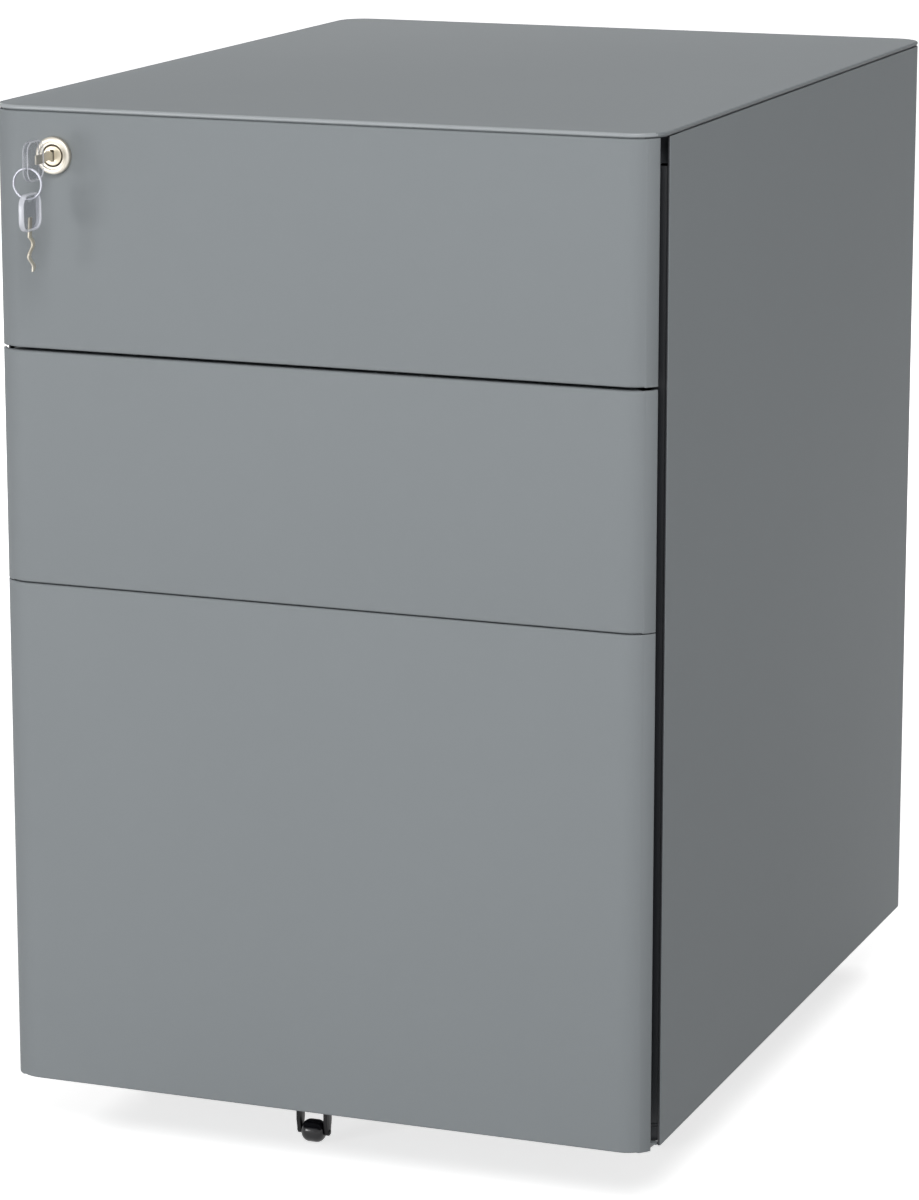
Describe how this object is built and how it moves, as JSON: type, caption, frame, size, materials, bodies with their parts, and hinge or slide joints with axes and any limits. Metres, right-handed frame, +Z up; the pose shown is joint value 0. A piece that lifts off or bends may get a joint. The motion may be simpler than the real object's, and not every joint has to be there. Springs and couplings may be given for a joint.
{
  "type": "mobile drawer cabinet",
  "caption": "Handle-less steel pedestal on castors: small drawers over a file drawer, curved fronts with side finger slots, a lock with keys and an anti-tilt roller.",
  "frame": {"origin": "on the floor, below the middle of the whole object with its hanging keys", "axes": "+Z up, the drawers open toward -Y, +X to the right as seen from the front"},
  "size_m": [0.42, 0.611, 0.645],
  "materials": {
    "painted_panel": "fine-textured satin powder coat, mid grey",
    "painted_front": "fine-textured satin powder coat, mid grey",
    "dark_frame": "satin black powder coat",
    "drawer_steel": "satin grey powder coat",
    "zinc_rail": "bright zinc plating",
    "zinc_fitting": "bright zinc plating",
    "lock_nickel": "satin nickel plating",
    "key_metal": "nickel-plated brass, bare at the bites",
    "ring_steel": "polished steel wire",
    "smoke_plastic": "translucent smoke-grey moulded plastic with light edges",
    "black_nylon": "moulded black nylon",
    "black_wheel": "smooth hard black plastic"
  },
  "bodies": {
    "root": {"top_panel": "painted_panel", "back_panel": "painted_panel", "base_plate": "dark_frame", "base_front_fold": "dark_frame", "base_rim": "dark_frame", "side_panel_left": "painted_panel", "side_panel_right": "painted_panel", "slot_foot_left": "painted_panel", "slot_foot_right": "painted_panel", "front_upright_left": "dark_frame", "front_upright_right": "dark_frame", "rear_upright_left": "dark_frame", "rear_upright_right": "dark_frame", "case_rail_1_left": "zinc_rail", "case_rail_1_right": "zinc_rail", "case_rail_2_left": "zinc_rail", "case_rail_2_right": "zinc_rail", "case_rail_3_left": "zinc_rail", "case_rail_3_right": "zinc_rail", "castor_plate_front_left": "zinc_fitting", "castor_plate_front_right": "zinc_fitting", "castor_plate_rear_left": "zinc_fitting", "castor_plate_rear_right": "zinc_fitting"},
    "slide_1": {"mid_rail_1_left": "zinc_rail", "mid_rail_1_right": "zinc_rail"},
    "drawer_1": {"drawer_front_1": "painted_front", "drawer_box_1": "drawer_steel", "drawer_rail_1_left": "zinc_rail", "drawer_rail_1_right": "zinc_rail", "lock_housing": "lock_nickel"},
    "slide_2": {"mid_rail_2_left": "zinc_rail", "mid_rail_2_right": "zinc_rail"},
    "drawer_2": {"drawer_front_2": "painted_front", "drawer_box_2": "drawer_steel", "drawer_rail_2_left": "zinc_rail", "drawer_rail_2_right": "zinc_rail"},
    "slide_3": {"mid_rail_3_left": "zinc_rail", "mid_rail_3_right": "zinc_rail"},
    "drawer_3": {"drawer_front_3": "painted_front", "drawer_box_3": "drawer_steel", "drawer_rail_3_left": "zinc_rail", "drawer_rail_3_right": "zinc_rail", "roller_bracket": "black_nylon"},
    "tilt_roller": {"anti_tilt_roller": "black_wheel"},
    "plug": {"lock_plug": "lock_nickel", "lock_cam": "zinc_fitting"},
    "bar": {"lock_bar": "zinc_fitting"},
    "key": {"key_blade": "key_metal", "key_bow": "smoke_plastic"},
    "ring": {"key_ring": "ring_steel"},
    "spare": {"spare_key": "smoke_plastic"},
    "castor_front_left": {"castor_fork_front_left": "black_nylon"},
    "wheel_front_left": {"castor_wheel_front_left": "black_wheel"},
    "castor_front_right": {"castor_fork_front_right": "black_nylon"},
    "wheel_front_right": {"castor_wheel_front_right": "black_wheel"},
    "castor_rear_left": {"castor_fork_rear_left": "black_nylon"},
    "wheel_rear_left": {"castor_wheel_rear_left": "black_wheel"},
    "castor_rear_right": {"castor_fork_rear_right": "black_nylon"},
    "wheel_rear_right": {"castor_wheel_rear_right": "black_wheel"}
  },
  "joints": [
    {"name": "drawer_1_slide", "type": "slide", "parent": "root", "child": "drawer_1", "axis": [0, -1, 0], "range_m": [0, 0.46]},
    {"name": "rail_1_slide", "type": "slide", "parent": "root", "child": "slide_1", "axis": [0, -1, 0], "range_m": [0, 0.23]},
    {"name": "drawer_2_slide", "type": "slide", "parent": "root", "child": "drawer_2", "axis": [0, -1, 0], "range_m": [0, 0.46]},
    {"name": "rail_2_slide", "type": "slide", "parent": "root", "child": "slide_2", "axis": [0, -1, 0], "range_m": [0, 0.23]},
    {"name": "drawer_3_slide", "type": "slide", "parent": "root", "child": "drawer_3", "axis": [0, -1, 0], "range_m": [0, 0.46]},
    {"name": "rail_3_slide", "type": "slide", "parent": "root", "child": "slide_3", "axis": [0, -1, 0], "range_m": [0, 0.23]},
    {"name": "swivel_front_left", "type": "hinge", "parent": "root", "child": "castor_front_left", "pos_m": [-0.163, -0.1545, 0.045], "axis": [0, 0, 1], "continuous": true},
    {"name": "spin_front_left", "type": "hinge", "parent": "castor_front_left", "child": "wheel_front_left", "pos_m": [-0.163, -0.1365, 0.02], "axis": [1, 0, 0], "continuous": true},
    {"name": "swivel_front_right", "type": "hinge", "parent": "root", "child": "castor_front_right", "pos_m": [0.163, -0.1545, 0.045], "axis": [0, 0, 1], "continuous": true},
    {"name": "spin_front_right", "type": "hinge", "parent": "castor_front_right", "child": "wheel_front_right", "pos_m": [0.163, -0.1365, 0.02], "axis": [1, 0, 0], "continuous": true},
    {"name": "swivel_rear_left", "type": "hinge", "parent": "root", "child": "castor_rear_left", "pos_m": [-0.163, 0.2205, 0.045], "axis": [0, 0, 1], "continuous": true},
    {"name": "spin_rear_left", "type": "hinge", "parent": "castor_rear_left", "child": "wheel_rear_left", "pos_m": [-0.163, 0.2385, 0.02], "axis": [1, 0, 0], "continuous": true},
    {"name": "swivel_rear_right", "type": "hinge", "parent": "root", "child": "castor_rear_right", "pos_m": [0.163, 0.2205, 0.045], "axis": [0, 0, 1], "continuous": true},
    {"name": "spin_rear_right", "type": "hinge", "parent": "castor_rear_right", "child": "wheel_rear_right", "pos_m": [0.163, 0.2385, 0.02], "axis": [1, 0, 0], "continuous": true},
    {"name": "tilt_roller_spin", "type": "hinge", "parent": "drawer_3", "child": "tilt_roller", "pos_m": [-0.0275, -0.2045, 0.0082], "axis": [1, 0, 0], "continuous": true},
    {"name": "lock_turn", "type": "hinge", "parent": "drawer_1", "child": "plug", "pos_m": [-0.166, -0.2595, 0.6165], "axis": [0, 1, 0], "range_deg": [0, 90]},
    {"name": "bar_lift", "type": "slide", "parent": "root", "child": "bar", "axis": [0, 0, 1], "range_m": [0, 0.00848]},
    {"name": "key_pull", "type": "slide", "parent": "plug", "child": "key", "axis": [0, -1, 0], "range_m": [0, 0.012]},
    {"name": "ring_swing", "type": "hinge", "parent": "key", "child": "ring", "pos_m": [-0.166, -0.296, 0.61305], "axis": [1, 0, 0], "range_deg": [-40, 15]},
    {"name": "spare_key_swing", "type": "hinge", "parent": "ring", "child": "spare", "pos_m": [-0.166, -0.296, 0.59505], "axis": [1, 0, 0], "range_deg": [-40, 12]}
  ],
  "couplings": [
    {"joint": "rail_1_slide", "follows": "drawer_1_slide", "ratio": 0.5},
    {"joint": "rail_2_slide", "follows": "drawer_2_slide", "ratio": 0.5},
    {"joint": "rail_3_slide", "follows": "drawer_3_slide", "ratio": 0.5},
    {"joint": "lock_turn", "follows": "bar_lift", "rad_per_m": 185.1}
  ]
}
